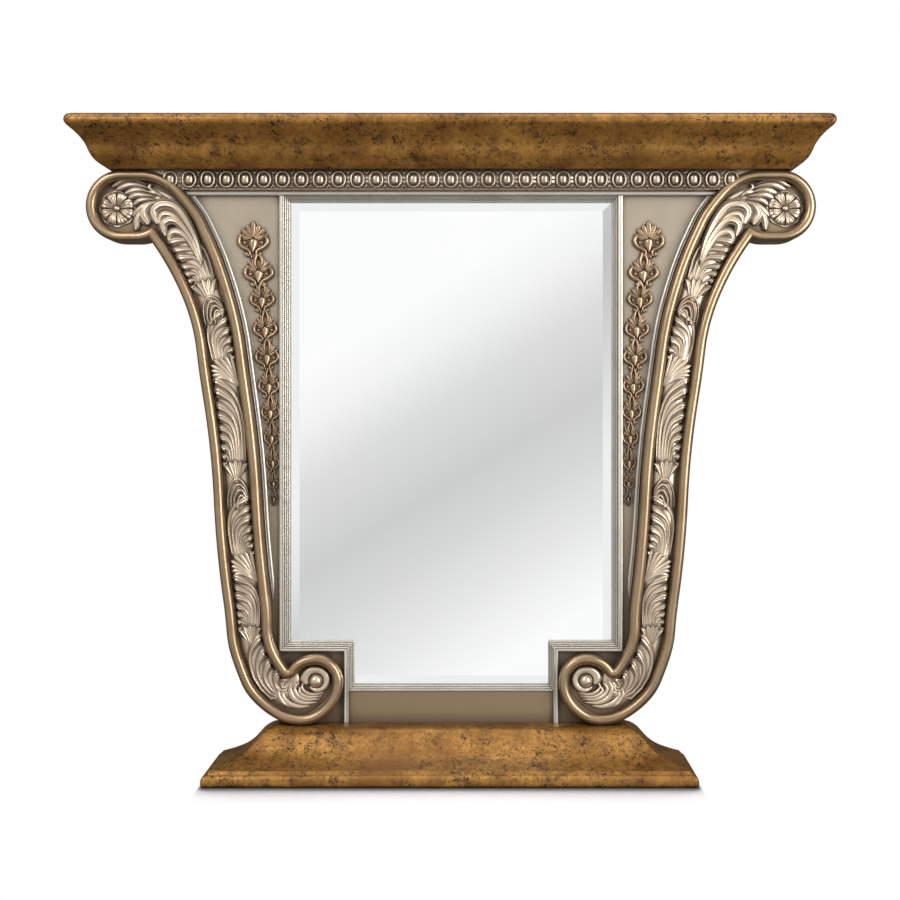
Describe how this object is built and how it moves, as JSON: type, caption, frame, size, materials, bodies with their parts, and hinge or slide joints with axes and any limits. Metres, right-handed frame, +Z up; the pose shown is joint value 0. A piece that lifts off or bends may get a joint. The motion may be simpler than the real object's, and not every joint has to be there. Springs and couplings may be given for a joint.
{
  "type": "wall mirror",
  "caption": "Ornate wall mirror: deep cornice, bead-and-oval frieze, carved scroll stiles, palmette side panels, notched sight moulding round bevelled glass, ogee base, hanging rings behind.",
  "frame": {"origin": "middle of the bounding box's footprint, on the surface that the base stands on", "axes": "+X along the width to the viewer's right, +Y from the front to the wall, +Z up"},
  "size_m": [1.38, 0.179, 1.198],
  "materials": {
    "mottled_gold": "gold-brown mottled paint over moulded wood, satin",
    "antique_gold": "antique gold leaf finish rubbed back, satin",
    "antique_bronze": "brown-bronze paint with dark glaze, satin",
    "champagne_carving": "silver-champagne carving with dark glaze in its hollows",
    "pewter_frieze": "pewter-bronze beads over a dark glazed ground",
    "panel_champagne": "grey-champagne paint, softly clouded, satin",
    "silver_moulding": "warm silver leaf on stepped moulding, satin",
    "copper_palmette": "copper-bronze paint on cast ornament, satin",
    "silvered_glass": "clear silvered glass with a bevelled margin",
    "bare_board": "thin brown fibre board, matt",
    "bare_wood": "bare softwood, matt",
    "steel_plate": "zinc-plated steel, satin",
    "brass_screw": "plain brass, satin",
    "soft_rubber": "black rubber, matt"
  },
  "bodies": {
    "mirror": {"acanthus_carving_left": "champagne_carving", "acanthus_carving_right": "champagne_carving", "apron_panel": "panel_champagne", "backing_board": "bare_board", "base_floor": "bare_wood", "base_front": "mottled_gold", "base_rear_rail": "bare_wood", "base_return_left": "mottled_gold", "base_return_right": "mottled_gold", "base_ribs": "bare_wood", "base_top_board": "mottled_gold", "bottom_rail": "bare_wood", "clip_screws": "brass_screw", "corner_panel_left": "panel_champagne", "corner_panel_right": "panel_champagne", "cornice_front": "mottled_gold", "cornice_rear_rail": "bare_wood", "cornice_return_left": "mottled_gold", "cornice_return_right": "mottled_gold", "cornice_ribs": "bare_wood", "cornice_soffit": "mottled_gold", "cornice_top_board": "bare_wood", "frieze_board": "pewter_frieze", "frieze_ovals": "pewter_frieze", "hanger_screws": "brass_screw", "hanger_strap_left": "steel_plate", "hanger_strap_right": "steel_plate", "head_bar": "silver_moulding", "mirror_glass": "silvered_glass", "notch_ledge_left": "silver_moulding", "notch_ledge_right": "silver_moulding", "notch_post_left": "silver_moulding", "notch_post_right": "silver_moulding", "palmette_drop_left": "copper_palmette", "palmette_drop_right": "copper_palmette", "panel_bead_left": "silver_moulding", "panel_bead_right": "silver_moulding", "rear_stile_left": "bare_wood", "rear_stile_right": "bare_wood", "retainer_clips": "steel_plate", "rosette_left": "champagne_carving", "rosette_right": "champagne_carving", "scroll_body_left": "antique_bronze", "scroll_body_right": "antique_bronze", "scroll_rim_left": "antique_gold", "scroll_rim_right": "antique_gold", "side_panel_left": "panel_champagne", "side_panel_right": "panel_champagne", "sight_side_left": "silver_moulding", "sight_side_right": "silver_moulding", "sight_step_bottom": "silver_moulding", "sight_step_top": "silver_moulding", "top_rail": "bare_wood", "volute_eye_left": "antique_gold", "volute_eye_right": "antique_gold", "volute_roll_left": "antique_gold", "volute_roll_right": "antique_gold", "wall_bumpers": "soft_rubber"},
    "ring_left": {"hanger_ring_left": "steel_plate"},
    "ring_right": {"hanger_ring_right": "steel_plate"}
  },
  "joints": [
    {"name": "ring_left_swing", "type": "hinge", "parent": "mirror", "child": "ring_left", "pos_m": [-0.352, 0.0855, 0.9573], "axis": [1, 0, 0], "range_deg": [0, 180]},
    {"name": "ring_right_swing", "type": "hinge", "parent": "mirror", "child": "ring_right", "pos_m": [0.352, 0.0855, 0.9573], "axis": [1, 0, 0], "range_deg": [0, 180]}
  ]
}
